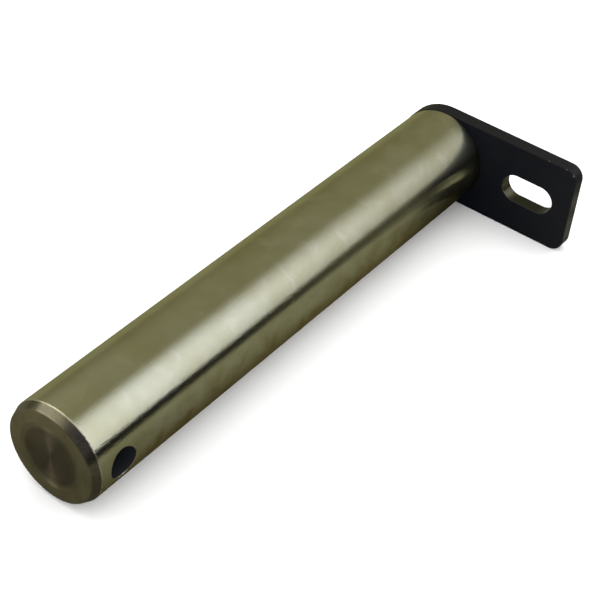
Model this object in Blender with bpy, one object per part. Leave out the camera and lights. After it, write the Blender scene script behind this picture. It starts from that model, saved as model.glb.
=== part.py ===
"""Flag pin: a ground pivot pin with a slotted keeper plate welded square across one end.

Metres, +Z up. The pin lies along Y with its tip towards -Y, and the plate reaches out along +X. The part
lies as on a bench, on the plate's lower edge, with the pin level and its underside just clear of it. The
origin is on the bench, under the middle of the part's box.

The pin's hidden end is turned down to a spigot that fills a hole in the plate. The ring weld lies in the
groove between the two, on the plate's outer side.
"""

import math

import bmesh
import bpy

# Pin
PIN_DIAMETER = 0.040
PIN_LENGTH = 0.234  # from the plate's seat face to the tip
TIP_CHAMFER_LENGTH = 0.0036
TIP_CHAMFER_DEPTH = 0.00145

# Cross hole for a retaining clip, along the plate's length
CROSS_HOLE_DIAMETER = 0.012
CROSS_HOLE_FROM_TIP = 0.014
CROSS_HOLE_DEBURR = 0.0004

# Spigot on the pin's hidden end
SPIGOT_DIAMETER = 0.025

# Flag plate
PLATE_WIDTH = 0.0405
PLATE_THICKNESS = 0.006
PLATE_CORNER_RADIUS = 0.0057
PLATE_EDGE_ROUND = 0.0004
PLATE_END_MARGIN = 0.0084  # steel left between the slot and the plate's free end

# Bolt slot, with round ends
SLOT_WIDTH = 0.0125
SLOT_LENGTH = 0.0235
SLOT_FROM_AXIS = 0.0427

# Ring weld
GROOVE_DEPTH = 0.0022  # 45 degree bevels on the spigot's end and on the plate's hole
WELD_LAP = 0.0013  # how far the bead runs past the groove on each side
WELD_CROWN = 0.0017
RIPPLE_DEPTH = 0.00022
RIPPLE_COUNT = 36
RIPPLE_BOW = 0.5  # how far the middle of a ripple runs ahead of its ends, in ripples

# Clearance between pieces that touch
FIT_GAP = 0.0003

# Finishes: colour as linear red, green and blue, then metallic and roughness
GROUND_STEEL = ((0.56, 0.54, 0.43), 1.0, 0.28)
BLACK_PLATE = ((0.012, 0.013, 0.015), 0.0, 0.5)
WELD_METAL = ((0.10, 0.095, 0.09), 1.0, 0.45)

# How far a cutter runs past the wall that it cuts
CUTTER_MARGIN = 0.002

# Facets
PIN_FACETS = 144
HOLE_FACETS = 64
ROUND_END_FACETS = 72
CORNER_FACETS = 10
SLOT_END_FACETS = 24
SPIGOT_HOLE_FACETS = 96
FACETS_PER_RIPPLE = 6
CROWN_FACETS = 6
EDGE_ROUND_SEGMENTS = 2
SMOOTH_ANGLE = math.radians(20)
EDGE_ROUND_ANGLE = math.radians(60)
MERGE_DISTANCE = 0.000001

# Worked out from the sizes above
PIN_RADIUS = PIN_DIAMETER / 2
SPIGOT_RADIUS = SPIGOT_DIAMETER / 2
SPIGOT_HOLE_RADIUS = SPIGOT_RADIUS + FIT_GAP
PLATE_REACH = SLOT_FROM_AXIS + SLOT_LENGTH / 2 + PLATE_END_MARGIN
WELD_BASE = PLATE_THICKNESS + FIT_GAP
WELD_TOP = WELD_BASE + WELD_CROWN
WIDEST_RADIUS = max(PIN_DIAMETER, PLATE_WIDTH) / 2


def arc(centre_x, centre_y, radius, start, end, facets):
    """Points along an arc, from one angle to another in degrees, both ends included."""
    points = []
    for step in range(facets + 1):
        angle = math.radians(start + (end - start) * step / facets)
        points.append((centre_x + radius * math.cos(angle), centre_y + radius * math.sin(angle)))
    return points


def at_height(outline, height):
    """A flat outline lifted to a height along the pin's axis."""
    return [(x, y, height) for x, y in outline]


def lofted(rings, closed=False):
    """A mesh skinned through rings of points: capped at both ends, or closed round on itself."""
    work = bmesh.new()
    loops = [[work.verts.new(point) for point in ring] for ring in rings]
    following = loops[1:] + loops[:1] if closed else loops[1:]
    for near, far in zip(loops, following):
        for here in range(len(near)):
            after = (here + 1) % len(near)
            work.faces.new((near[here], near[after], far[after], far[here]))
    if not closed:
        work.faces.new(loops[0])
        work.faces.new(loops[-1])
    bmesh.ops.recalc_face_normals(work, faces=work.faces)
    mesh = bpy.data.meshes.new("loft")
    work.to_mesh(mesh)
    work.free()
    return mesh


def placed(name, mesh, parent):
    """A new object in the scene, in its parent's own axes."""
    piece = bpy.data.objects.new(name, mesh)
    bpy.context.scene.collection.objects.link(piece)
    piece.parent = parent
    return piece


def cut(piece, name, mesh):
    """Take a cutter's shape out of a piece."""
    cutter = placed(name, mesh, piece.parent)
    cutter.hide_render = True
    cutter.display_type = "WIRE"
    modifier = piece.modifiers.new(name, "BOOLEAN")
    modifier.operation = "DIFFERENCE"
    modifier.object = cutter
    return cutter


def finished(piece, cutters, material):
    """Settle a piece's modifiers, remove its cutters, smooth its round faces and give it a material."""
    bpy.context.view_layer.update()
    settled = piece.evaluated_get(bpy.context.evaluated_depsgraph_get())
    mesh = bpy.data.meshes.new_from_object(settled)
    piece.modifiers.clear()
    piece.data = mesh
    mesh.name = piece.name
    for cutter in cutters:
        bpy.data.objects.remove(cutter)
    mesh.shade_smooth()
    mesh.set_sharp_from_angle(angle=SMOOTH_ANGLE)
    mesh.materials.clear()
    mesh.materials.append(material)


def surface(name, colour, metallic, roughness):
    """A plain material from the piece's colour and gloss."""
    material = bpy.data.materials.new(name)
    material.use_nodes = True
    shader = material.node_tree.nodes["Principled BSDF"]
    shader.inputs["Base Color"].default_value = (*colour, 1.0)
    shader.inputs["Metallic"].default_value = metallic
    shader.inputs["Roughness"].default_value = roughness
    return material


def cross_hole_cutter():
    """The cross hole along X, with mouths that flare evenly all round where the bar's side falls away."""
    radius = CROSS_HOLE_DIAMETER / 2
    height = CROSS_HOLE_FROM_TIP - PIN_LENGTH
    flare = CROSS_HOLE_DEBURR + CUTTER_MARGIN / 2
    outside = PIN_RADIUS + CUTTER_MARGIN

    def mouth(side, ring_radius, depth):
        """A ring that follows the bar's round side at a depth under it."""
        ring = []
        for y, z in arc(0, height, ring_radius, 0, 360, HOLE_FACETS)[:-1]:
            ring.append((side * (math.sqrt(PIN_RADIUS**2 - y**2) - depth), y, z))
        return ring

    def flat_end(side):
        outline = arc(0, height, radius + flare, 0, 360, HOLE_FACETS)[:-1]
        return [(side * outside, y, z) for y, z in outline]

    return lofted(
        [
            flat_end(-1),
            mouth(-1, radius + flare, CROSS_HOLE_DEBURR - flare),
            mouth(-1, radius, CROSS_HOLE_DEBURR),
            mouth(1, radius, CROSS_HOLE_DEBURR),
            mouth(1, radius + flare, CROSS_HOLE_DEBURR - flare),
            flat_end(1),
        ]
    )


def make_pin_shank(parent):
    """The ground bar: a turned profile about its axis, then the cross hole."""
    shoulder = -FIT_GAP
    profile = [
        (0, PLATE_THICKNESS),
        (SPIGOT_RADIUS - GROOVE_DEPTH, PLATE_THICKNESS),
        (SPIGOT_RADIUS, PLATE_THICKNESS - GROOVE_DEPTH),
        (SPIGOT_RADIUS, shoulder),
        (PIN_RADIUS, shoulder),
        (PIN_RADIUS, TIP_CHAMFER_LENGTH - PIN_LENGTH),
        (PIN_RADIUS - TIP_CHAMFER_DEPTH, -PIN_LENGTH),
        (0, -PIN_LENGTH),
    ]
    mesh = bpy.data.meshes.new("pin_profile")
    edges = [(point, point + 1) for point in range(len(profile) - 1)]
    mesh.from_pydata([(x, 0, z) for x, z in profile], edges, [])
    pin = placed("pin_shank", mesh, parent)
    turn = pin.modifiers.new("turn", "SCREW")
    turn.axis = "Z"
    turn.steps = PIN_FACETS
    turn.render_steps = PIN_FACETS
    turn.use_merge_vertices = True
    turn.merge_threshold = MERGE_DISTANCE
    cutter = cut(pin, "cross_hole", cross_hole_cutter())
    finished(pin, [cutter], surface("ground_steel", *GROUND_STEEL))


def plate_outline():
    """The plate's edge: a round end about the pin's axis, and a square end with rounded corners."""
    half = PLATE_WIDTH / 2
    corner = min(PLATE_CORNER_RADIUS, half)
    corner_x = PLATE_REACH - corner
    corner_y = half - corner
    return (
        arc(corner_x, -corner_y, corner, -90, 0, CORNER_FACETS)
        + arc(corner_x, corner_y, corner, 0, 90, CORNER_FACETS)
        + arc(0, 0, half, 90, 270, ROUND_END_FACETS)
    )


def slot_outline():
    """The bolt slot: two half rounds joined by straight sides along the plate."""
    radius = SLOT_WIDTH / 2
    reach = SLOT_LENGTH / 2 - radius
    return arc(SLOT_FROM_AXIS + reach, 0, radius, -90, 90, SLOT_END_FACETS) + arc(
        SLOT_FROM_AXIS - reach, 0, radius, 90, 270, SLOT_END_FACETS
    )


def spigot_hole_cutter():
    """The spigot's hole, with the weld bevel opening towards the plate's outer face."""

    def ring(radius, height):
        return at_height(arc(0, 0, radius, 0, 360, SPIGOT_HOLE_FACETS)[:-1], height)

    return lofted(
        [
            ring(SPIGOT_HOLE_RADIUS, -CUTTER_MARGIN),
            ring(SPIGOT_HOLE_RADIUS, PLATE_THICKNESS - GROOVE_DEPTH),
            ring(SPIGOT_HOLE_RADIUS + GROOVE_DEPTH + CUTTER_MARGIN, PLATE_THICKNESS + CUTTER_MARGIN),
        ]
    )


def make_flag_plate(parent):
    """The keeper plate: its outline through its thickness, less the slot and the hole, edges rounded."""
    outline = plate_outline()
    blank = lofted([at_height(outline, 0), at_height(outline, PLATE_THICKNESS)])
    plate = placed("flag_plate", blank, parent)
    slot = slot_outline()
    slot_cutter = lofted(
        [at_height(slot, -CUTTER_MARGIN), at_height(slot, PLATE_THICKNESS + CUTTER_MARGIN)]
    )
    cutters = [
        cut(plate, "bolt_slot", slot_cutter),
        cut(plate, "spigot_hole", spigot_hole_cutter()),
    ]
    edge = plate.modifiers.new("edge_round", "BEVEL")
    edge.limit_method = "ANGLE"
    edge.angle_limit = EDGE_ROUND_ANGLE
    edge.width = PLATE_EDGE_ROUND
    edge.segments = EDGE_ROUND_SEGMENTS
    finished(plate, cutters, surface("black_plate", *BLACK_PLATE))


def weld_section(angle):
    """One slice across the bead: the rippled crown, then the root that lies in the groove."""
    middle = (SPIGOT_RADIUS + SPIGOT_HOLE_RADIUS) / 2
    groove_half_width = (SPIGOT_HOLE_RADIUS - SPIGOT_RADIUS) / 2 + GROOVE_DEPTH
    bead_half_width = groove_half_width + WELD_LAP
    root_half_width = groove_half_width - (math.sqrt(2) - 1) * FIT_GAP
    section = []
    for step in range(CROWN_FACETS + 1):
        across = 1 - 2 * step / CROWN_FACETS
        dome = 1 - across**2
        ripple = angle * RIPPLE_COUNT + RIPPLE_BOW * dome * math.tau
        lift = WELD_CROWN - RIPPLE_DEPTH * (1 - math.cos(ripple)) / 2
        section.append((middle + across * bead_half_width, WELD_BASE + dome * lift))
    section.append((middle - root_half_width, WELD_BASE))
    section.append((middle, WELD_BASE - root_half_width))
    section.append((middle + root_half_width, WELD_BASE))
    return [(radius * math.cos(angle), radius * math.sin(angle), height) for radius, height in section]


def make_weld_bead(parent):
    """The ring weld: slices set round the spigot and joined into one bead."""
    slices = RIPPLE_COUNT * FACETS_PER_RIPPLE
    mesh = lofted([weld_section(math.tau * step / slices) for step in range(slices)], closed=True)
    bead = placed("weld_bead", mesh, parent)
    finished(bead, [], surface("weld_metal", *WELD_METAL))


def main():
    for leftover in list(bpy.data.objects):
        bpy.data.objects.remove(leftover)

    # The pin's axis, with its zero on the plate's seat face, set so that the box is centred on the origin
    axis = bpy.data.objects.new("pin_axis", None)
    bpy.context.scene.collection.objects.link(axis)
    axis.location = (
        (WIDEST_RADIUS - PLATE_REACH) / 2,
        (PIN_LENGTH - WELD_TOP) / 2,
        WIDEST_RADIUS,
    )
    axis.rotation_euler = (math.radians(-90), 0, 0)

    make_pin_shank(axis)
    make_flag_plate(axis)
    make_weld_bead(axis)


main()
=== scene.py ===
"""Looks of a flag pin: its finished surfaces, the stage and the camera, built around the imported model.

Metres, +Z up. The pin lies along Y with its tip towards -Y, the plate reaches out along +X, and the part lies
on the floor at Z = 0. The pin is a ground bar with turned ends and a drilled cross hole. The plate is painted
flat bar. A ring weld joins the two on the plate's outer side.
"""

import math
import random

import bmesh
import bpy
from mathutils import Matrix, Quaternion, Vector


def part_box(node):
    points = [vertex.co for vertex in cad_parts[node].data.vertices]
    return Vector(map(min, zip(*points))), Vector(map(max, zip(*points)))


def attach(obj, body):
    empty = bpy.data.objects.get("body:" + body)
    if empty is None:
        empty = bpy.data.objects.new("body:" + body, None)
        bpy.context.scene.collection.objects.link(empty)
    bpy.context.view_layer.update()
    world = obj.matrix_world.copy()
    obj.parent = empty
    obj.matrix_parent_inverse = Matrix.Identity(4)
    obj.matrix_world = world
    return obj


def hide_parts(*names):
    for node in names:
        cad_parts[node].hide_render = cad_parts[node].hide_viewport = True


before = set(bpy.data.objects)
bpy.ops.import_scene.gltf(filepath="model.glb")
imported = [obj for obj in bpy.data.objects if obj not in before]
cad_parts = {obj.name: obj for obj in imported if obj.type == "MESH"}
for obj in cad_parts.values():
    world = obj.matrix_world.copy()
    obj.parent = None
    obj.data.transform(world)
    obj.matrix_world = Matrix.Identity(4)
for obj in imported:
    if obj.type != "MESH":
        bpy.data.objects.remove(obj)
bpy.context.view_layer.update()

bl_info = {
    "name": "Flag pin looks",
    "version": (1, 0, 0),
    "blender": (4, 5, 0),
    "location": "3D View > Sidebar > Flag Pin",
    "description": "Builds a flag pin's finished surfaces, its stage and its camera around the packed model",
    "category": "Object",
}

BODY = "root"

# Sizes that differ by less than TOUCH are the same, sizes that differ by more than APART clearly aren't, and
# points of a mesh closer than MERGE are one
TOUCH = 0.00002
APART = 0.0002
MERGE = 0.000002

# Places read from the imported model
PIN_LOW, PIN_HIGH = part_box("pin_shank")
PLATE_LOW, PLATE_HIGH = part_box("flag_plate")
PIN_RADIUS = (PIN_HIGH.x - PIN_LOW.x) / 2
AXIS_X = (PIN_HIGH.x + PIN_LOW.x) / 2
AXIS_Z = (PIN_HIGH.z + PIN_LOW.z) / 2
TIP_Y = PIN_LOW.y
SEAT_Y = PLATE_LOW.y
OUTER_Y = PLATE_HIGH.y


def cad_points(node):
    """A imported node's corners, each with its distance from the pin's axis."""
    points = [vertex.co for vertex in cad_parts[node].data.vertices]
    return [(math.hypot(point.x - AXIS_X, point.z - AXIS_Z), point) for point in points]


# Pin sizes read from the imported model
PIN_POINTS = cad_points("pin_shank")
TIP_FACE_RADIUS = max(reach for reach, point in PIN_POINTS if point.y < TIP_Y + TOUCH)
GROUND_YS = [point.y for reach, point in PIN_POINTS if reach > PIN_RADIUS - TOUCH]
GROUND_FROM = min(GROUND_YS)
GROUND_TO = max(GROUND_YS)
SPIGOT_RADIUS = max(reach for reach, point in PIN_POINTS if point.y > GROUND_TO + TOUCH)
SPIGOT_FACE_RADIUS = max(reach for reach, point in PIN_POINTS if point.y > OUTER_Y - TOUCH)
HOLE_YS = [
    point.y
    for reach, point in PIN_POINTS
    if GROUND_FROM < point.y < GROUND_TO - TOUCH and reach < PIN_RADIUS - APART
]
HOLE_Y = (min(HOLE_YS) + max(HOLE_YS)) / 2
HOLE_RADIUS = (max(HOLE_YS) - min(HOLE_YS)) / 2

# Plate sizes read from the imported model
PLATE_POINTS = cad_points("flag_plate")
PLATE_HALF_WIDTH = (PLATE_HIGH.z - PLATE_LOW.z) / 2
PLATE_REACH = PLATE_HIGH.x - AXIS_X
PLATE_MIDDLE_Y = (SEAT_Y + OUTER_Y) / 2
PLATE_EDGE = PLATE_HIGH.x - max(point.x for reach, point in PLATE_POINTS if point.y < SEAT_Y + TOUCH)
PLATE_WALL = [
    (reach, point)
    for reach, point in PLATE_POINTS
    if abs(point.y - PLATE_MIDDLE_Y) < PLATE_MIDDLE_Y - SEAT_Y - PLATE_EDGE + TOUCH
]
PLATE_CORNER = PLATE_HIGH.x - max(
    point.x for reach, point in PLATE_WALL if abs(point.z - PLATE_LOW.z) < TOUCH
)
SPIGOT_HOLE_RADIUS = min(reach for reach, point in PLATE_POINTS)
GROOVE_RADIUS = max(
    reach
    for reach, point in PLATE_POINTS
    if point.y > OUTER_Y - TOUCH and reach < PIN_RADIUS - 2 * PLATE_EDGE
)
SLOT_POINTS = [
    point
    for reach, point in PLATE_WALL
    if reach > PIN_RADIUS + PLATE_EDGE
    and point.x < PLATE_HIGH.x - PLATE_CORNER
    and abs(point.z - AXIS_Z) < PLATE_HALF_WIDTH - PLATE_CORNER
]
SLOT_LOW_X = min(point.x for point in SLOT_POINTS)
SLOT_HIGH_X = max(point.x for point in SLOT_POINTS)
SLOT_X = (SLOT_LOW_X + SLOT_HIGH_X) / 2
SLOT_RADIUS = max(abs(point.z - AXIS_Z) for point in SLOT_POINTS)
SLOT_HALF_RUN = (SLOT_HIGH_X - SLOT_LOW_X) / 2 - SLOT_RADIUS

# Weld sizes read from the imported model
WELD_POINTS = cad_points("weld_bead")
WELD_LOW, WELD_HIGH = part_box("weld_bead")
WELD_INNER = min(reach for reach, point in WELD_POINTS)
WELD_OUTER = max(reach for reach, point in WELD_POINTS)

# Gap between pieces that touch, and the pin's shoulder, which that leaves short of the plate
CLEARANCE = 0.00012
SHOULDER_Y = SEAT_Y - CLEARANCE

# Columns of half the bar, and of the window in it round the cross hole
HALF_COLUMNS = 96
WINDOW_COLUMNS = 28
COLUMN_ANGLE = math.pi / HALF_COLUMNS
FIRST_COLUMN = (HALF_COLUMNS - WINDOW_COLUMNS) // 2
LAST_COLUMN = FIRST_COLUMN + WINDOW_COLUMNS

# Other mesh detail
ROW_SPACING = 0.012
MOUTH_RINGS = 7
LIP_STEPS = 5
BORE_RINGS = 12
EDGE_STEPS = 4
SUPPORT = 0.00012  # from a rounded edge to the row that keeps the face beside it flat
CORNER_STEPS = 12
ROUND_END_STEPS = 96
SLOT_END_STEPS = 36
SPIGOT_HOLE_STEPS = 96
SLICES_PER_RIPPLE = 10
CROWN_STEPS = 18
CARD_COLUMNS = 16
SHARP_ANGLE = math.radians(35)

# Finishes of the pin, in the order of its materials
GROUND = 0
TURNED = 1
DRILLED = 2
DEBURRED = 3
FACED = 4
HEATED = 5

# Ring weld
RIPPLE = "ripple"  # the mesh's layer that says how high each point stands on its ripple
WELD_SEED = 7
LIFT_SPREAD = 0.5  # how much the ripples differ in height
START_SPREAD = 0.16  # how far their starts stray, in ripples
LIFT_DEPTH = 0.4  # what a ripple's height does to its depth
LIFT_WIDTH = 0.02  # and to the bead's width
RIPPLE_BOW = 0.55  # how far the middle of a ripple bows from its ends, in ripples
FALL_POWER = 1.6  # shape of a ripple's fall along the bead
CROWN_POWER = 0.8  # shape of the crown across the bead
BRIGHT_POWER = 0.5  # spread of the bright top across the bead
ROOT_WIDTH = 0.55  # width of the root, as a share of the bead's

# What a noise pattern mostly stays between
NOISE_RANGE = (0.3, 0.7)

# The tip's finely faced middle: width of its sloped rim, the rounding of that rim's edges, and the shares of
# its radius between which its finish gives way to the turned one
FACED_RIM = 0.0006
FACED_BREAK = 0.0001
FACED_FADE = (0.76, 0.95)

# Painted shade in the corner at the plate: where along X and along Y it comes in, how ragged its edge
# is, and how much it covers
CORNER_SHADE_ACROSS = (AXIS_X + 0.1 * PIN_RADIUS, AXIS_X + 0.6 * PIN_RADIUS)
CORNER_SHADE_ALONG = (SEAT_Y - 0.2 * PIN_RADIUS, SEAT_Y + 0.2 * PIN_RADIUS)
CORNER_SHADE_RAGGED = 0.4 * PIN_RADIUS
CORNER_SHADE_COVER = 0.75

# Brown stains on the pin: where along Z they thin out, and how much they cover below and above that
STAIN_HEIGHTS = (AXIS_Z, AXIS_Z + 0.4 * PIN_RADIUS)
STAIN_COVER = (0.7, 0.06)

# Ragged spots: the shares of its radius between which a spot fades out
SPOT_EDGE = (0.9, 1.5)

# Chips in the paint, and a painted highlight along the free corner's front edge: place on the rounded
# edge, and radius
EDGE_MIDDLE = 0.3 * PLATE_EDGE
FRONT_EDGE_Y = SEAT_Y + EDGE_MIDDLE
UPPER_EDGE_Z = PLATE_HIGH.z - EDGE_MIDDLE
CHIPS_AND_GLEAM = (
    ((AXIS_X + 0.0493, FRONT_EDGE_Y, UPPER_EDGE_Z), 0.0004),
    ((AXIS_X + 0.0575, FRONT_EDGE_Y, UPPER_EDGE_Z), 0.0004),
    # Not a chip: a painted highlight, the pale gleam along the free corner's front edge
    ((PLATE_HIGH.x - 0.0019, FRONT_EDGE_Y, PLATE_HIGH.z - 0.0017), 0.0005),
)

# Lighter patches on the plate's free end: middle, and radius
END_PATCHES = (
    ((PLATE_HIGH.x, PLATE_MIDDLE_Y, AXIS_Z + 0.005), 0.0065),
    ((PLATE_HIGH.x, PLATE_MIDDLE_Y, AXIS_Z - 0.008), 0.009),
)

# A bright spot where a bolt rubbed the slot's wall at its inner end, which also paints the highlight there:
# angle round that end, and radius
RUB_HIGHLIGHT_ANGLE = math.radians(228)
RUB_HIGHLIGHT_X = SLOT_X - SLOT_HALF_RUN + SLOT_RADIUS * math.cos(RUB_HIGHLIGHT_ANGLE)
RUB_HIGHLIGHT_Z = AXIS_Z + SLOT_RADIUS * math.sin(RUB_HIGHLIGHT_ANGLE)
SLOT_RUB_HIGHLIGHT = (((RUB_HIGHLIGHT_X, PLATE_MIDDLE_Y, RUB_HIGHLIGHT_Z), 0.0048),)

# Where the finish of the slot's wall gives way to the face round it, away from the slot's middle line
SLOT_WALL_EDGE = (SLOT_RADIUS + 0.1 * PLATE_EDGE, SLOT_RADIUS + 0.6 * PLATE_EDGE)

# How squarely a face has to point along X or Y to count as the plate's free end or as its outer face
END_FACING = (0.8, 0.95)
OUTER_FACING = (0.5, 0.9)

# Paint burnt by the weld: how ragged its rings are, and where the burn and the scale fade, away from the axis
BURN_RAGGED = 0.006
BURN_EDGE = (WELD_OUTER + 0.004, WELD_OUTER + 0.007)
SCALE_EDGE = (WELD_OUTER + 0.0028, WELD_OUTER + 0.004)

# The floor as the steel mirrors it: where along X the shade beside the pin starts, where along Y it comes in,
# where along X it fades, and where and how much the floor dims far off
FLOOR_REACH = 6.0
SHADE_FROM = AXIS_X
SHADE_COMES_IN = (TIP_Y - 0.01, TIP_Y + 0.03)
SHADE_FADES = (-0.006, 0.025, 1.0, 0.0)
SHADE_FAR_OFF = (0.14, 0.5, 1.0, 0.3)

# Pools of shade on it: middle, radius of the full shade, radius where it ends, and what is left of the light
SHADE_POOLS = (
    ((0.01, TIP_Y, 0), 0.03, 0.16, 0.78),
    ((AXIS_X + 0.02, SEAT_Y, 0), 0.005, 0.055, 0.3),
    ((0.13, SEAT_Y + 0.13, 0), 0.03, 0.13, 0.4),
    ((0.02, TIP_Y - 0.012, 0), 0.015, 0.04, 0.75),
)

# The room as the steel mirrors it: how far up it brightens, from what level to what, which way its dark
# side lies and where that sets in, and where towards +Y the doorway starts, all on directions of length 1
ROOM_HEIGHTS = (0.1, 0.7)
ROOM_LEVELS = (0.86, 1.06)
DARK_WAY = Vector((0.6, -0.7, 0.35)).normalized()
DARK_EDGE = (0.2, 0.75)
DOORWAY_EDGE = (0.86, 0.95)

# Glossy depths below this are light that comes straight from the surface that is seen
FIRST_BOUNCE = 1.5

# Sockets of a colour Mix node
MIX_FACTOR = 0
MIX_A = 6
MIX_B = 7
MIX_RESULT = 2


def linear(hex_colour):
    """An sRGB hex colour as linear red, green and blue."""
    channels = []
    for start in (1, 3, 5):
        value = int(hex_colour[start : start + 2], 16) / 255
        channels.append(value / 12.92 if value <= 0.04045 else ((value + 0.055) / 1.055) ** 2.4)
    return tuple(channels)


def per_metre(millimetres):
    """The scale that gives a pattern features of that size, on coordinates in metres."""
    return 1000 / millimetres


def length_property(name, description, default):
    """A size that a user can change, in metres."""
    return bpy.props.FloatProperty(
        name=name,
        description=description,
        default=default,
        min=0.0,
        precision=5,
        unit="LENGTH",
        subtype="DISTANCE",
    )


def colour_property(name, description, default):
    """A colour that a user can change, with its default as sRGB hex."""
    return bpy.props.FloatVectorProperty(
        name=name,
        description=description,
        default=linear(default),
        min=0.0,
        max=1.0,
        size=3,
        subtype="COLOR",
    )


def share_property(name, description, default):
    """A share from none to all that a user can change."""
    return bpy.props.FloatProperty(
        name=name, description=description, default=default, min=0.0, max=1.0, subtype="FACTOR"
    )


def angle_property(name, description, degrees):
    """An angle that a user can change, with its default in degrees."""
    return bpy.props.FloatProperty(
        name=name,
        description=description,
        default=math.radians(degrees),
        unit="ROTATION",
        subtype="ANGLE",
    )


class FlagPinShankSettings(bpy.types.PropertyGroup):
    """Sizes and colours of the ground pin."""

    edge_break: length_property("Edge break", "How far the tip's turned edges are rounded", 0.00035)
    mouth_round: length_property("Mouth round", "Rounding of the cross hole's deburred mouths", 0.00035)
    steel: colour_property("Ground steel", "Bare steel of the ground bar", "#CBCCBA")
    oiled_steel: colour_property("Oiled steel", "Ground steel under a thicker film of oil", "#C3C2AA")
    stained_steel: colour_property("Stained steel", "Ground steel with brown stains", "#AA9B7C")
    # Dried oil spots on the chamfer, and painted shade in the corner where the bar meets the plate
    grime_and_shade: colour_property("Grime", "Oily grime in the corner at the plate", "#50525A")
    oil_tint: colour_property("Oil tint", "What the oil film does to steel seen edge on", "#FCFAD6")
    faced_depth: length_property("Faced depth", "How deep the tip's middle is faced", 0.0001)
    faced_radius: length_property("Faced radius", "Radius of the finely faced middle of the tip", 0.0135)
    turned_steel: colour_property("Turned steel", "Bare steel of the end faces", "#9E9782")
    faced_steel: colour_property("Faced steel", "Bare steel of the finely faced middle", "#7C776B")
    browned_steel: colour_property("Browned steel", "Stains on the finely faced middle", "#75645E")
    chamfer_steel: colour_property("Chamfer steel", "Browned steel of the chamfer", "#807B70")
    bright_steel: colour_property("Bright steel", "Freshly cut steel of the broken edges", "#D2D0C0")
    straw: colour_property("Straw film", "First heat colour on the spigot's end", "#A88F58")
    purple: colour_property("Purple film", "Second heat colour on the spigot's end", "#6A4F58")
    blue: colour_property("Blue film", "Last heat colour, beside the weld", "#46546E")
    # The bore's near-black colour is painted shade inside the cross hole
    shaded_bore: colour_property("Bore", "Drilled steel inside the cross hole", "#272A30")
    roughness: share_property("Ground roughness", "Roughness of the ground bar", 0.18)


class FlagPinPlateSettings(bpy.types.PropertyGroup):
    """Colours of the painted plate."""

    paint: colour_property("Paint", "Satin black paint", "#0B0D16")
    dusty_paint: colour_property("Dusty paint", "Paint with a haze of grinding dust", "#0F1119")
    # Bare steel of the chips, also used for the painted highlight on the free corner
    chip_and_gleam_steel: colour_property("Bare steel", "Steel where the paint has chipped", "#6A695F")
    slot_steel: colour_property("Slot steel", "Punched steel of the slot's walls", "#4B4C49")
    # A rubbed spot in the slot, brightened as a painted highlight
    rubbed_highlight_steel: colour_property("Rubbed steel", "The slot's wall where a bolt rubbed it", "#7E7D74")
    end_patch_paint: colour_property("Worn paint", "Paint rubbed thin on the free end", "#2C2D27")
    burnt_paint: colour_property("Burnt paint", "Paint scorched by the weld", "#221D19")
    mill_scale: colour_property("Mill scale", "Scale at the weld's toe", "#4A4642")
    roughness: share_property("Paint roughness", "Roughness of the paint", 0.42)


class FlagPinWeldSettings(bpy.types.PropertyGroup):
    """Sizes and colours of the ring weld."""

    ripple_count: bpy.props.IntProperty(
        name="Ripples", description="Number of ripples round the bead", default=36, min=8, max=120
    )
    ripple_depth: length_property("Ripple depth", "Depth of the ripples", 0.00034)
    metal: colour_property("Weld metal", "Bare weld metal on the ripples", "#A5A19A")
    tinted: colour_property("Tinted metal", "Weld metal with heat colours", "#77695E")
    oxide: colour_property("Weld oxide", "Dark oxide between the ripples", "#322F31")


class FlagPinStageSettings(bpy.types.PropertyGroup):
    """Floor, light and camera."""

    floor: colour_property("Floor", "Pale floor", "#FAFAFA")
    mirrored_floor: colour_property("Mirrored floor", "The floor as the steel mirrors it", "#767561")
    shaded_floor: colour_property("Shaded floor", "The mirrored floor close beside the pin", "#645D49")
    room: colour_property("Room", "Olive room that the steel mirrors", "#8B886C")
    dark_room: colour_property("Dark room", "The room behind the camera", "#454145")
    doorway: colour_property("Doorway", "Light straight behind the plate", "#FFFFFF")
    long_light: colour_property("Long light", "Light of the main softbox", "#FFFFFF")
    near_light: colour_property("Near light", "Light of the softbox nearer the tip", "#FAFDFF")
    left_light: colour_property("Left light", "Light of the softbox on the left", "#FFFDE5")
    fill_strength: bpy.props.FloatProperty(
        name="Fill strength", description="Brightness of the white light all round", default=1.6, min=0.0
    )
    softbox_strength: bpy.props.FloatProperty(
        name="Softbox strength", description="Brightness of the main softbox", default=1.12, min=0.0
    )
    camera_azimuth: angle_property("Camera azimuth", "Camera's turn round the part from the tip", 33.64)
    camera_elevation: angle_property("Camera elevation", "Camera's angle above the floor", 40.91)
    camera_roll: angle_property("Camera roll", "Camera's turn about its own line of sight", 5.71)
    camera_distance: length_property("Camera distance", "Camera's distance from the point it aims at", 0.5578)
    camera_aim: bpy.props.FloatVectorProperty(
        name="Camera aim",
        description="Point that the camera looks at",
        default=(-0.0074, -0.0041, 0.02115),
        size=3,
        unit="LENGTH",
        subtype="XYZ",
    )
    camera_lens: bpy.props.FloatProperty(
        name="Camera lens", description="Focal length in millimetres", default=89.93, min=1.0
    )


def add_node(tree, kind, inputs=(), output=0, **settings):
    """Add a node with its settings, set or link its inputs, and give one of its outputs.

    Inputs are a tuple in the node's own order, or a dictionary by name or number.
    """
    node = tree.nodes.new("ShaderNode" + kind)
    for name, value in settings.items():
        setattr(node, name, value)
    for name, value in inputs.items() if isinstance(inputs, dict) else enumerate(inputs):
        if isinstance(value, bpy.types.NodeSocket):
            tree.links.new(value, node.inputs[name])
        else:
            node.inputs[name].default_value = value
    return node.outputs[output]


def new_material(name):
    """A material and its node tree, with no shader yet."""
    material = bpy.data.materials.new(name)
    material.use_nodes = True
    material.node_tree.nodes.remove(material.node_tree.nodes["Principled BSDF"])
    return material, material.node_tree


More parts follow.
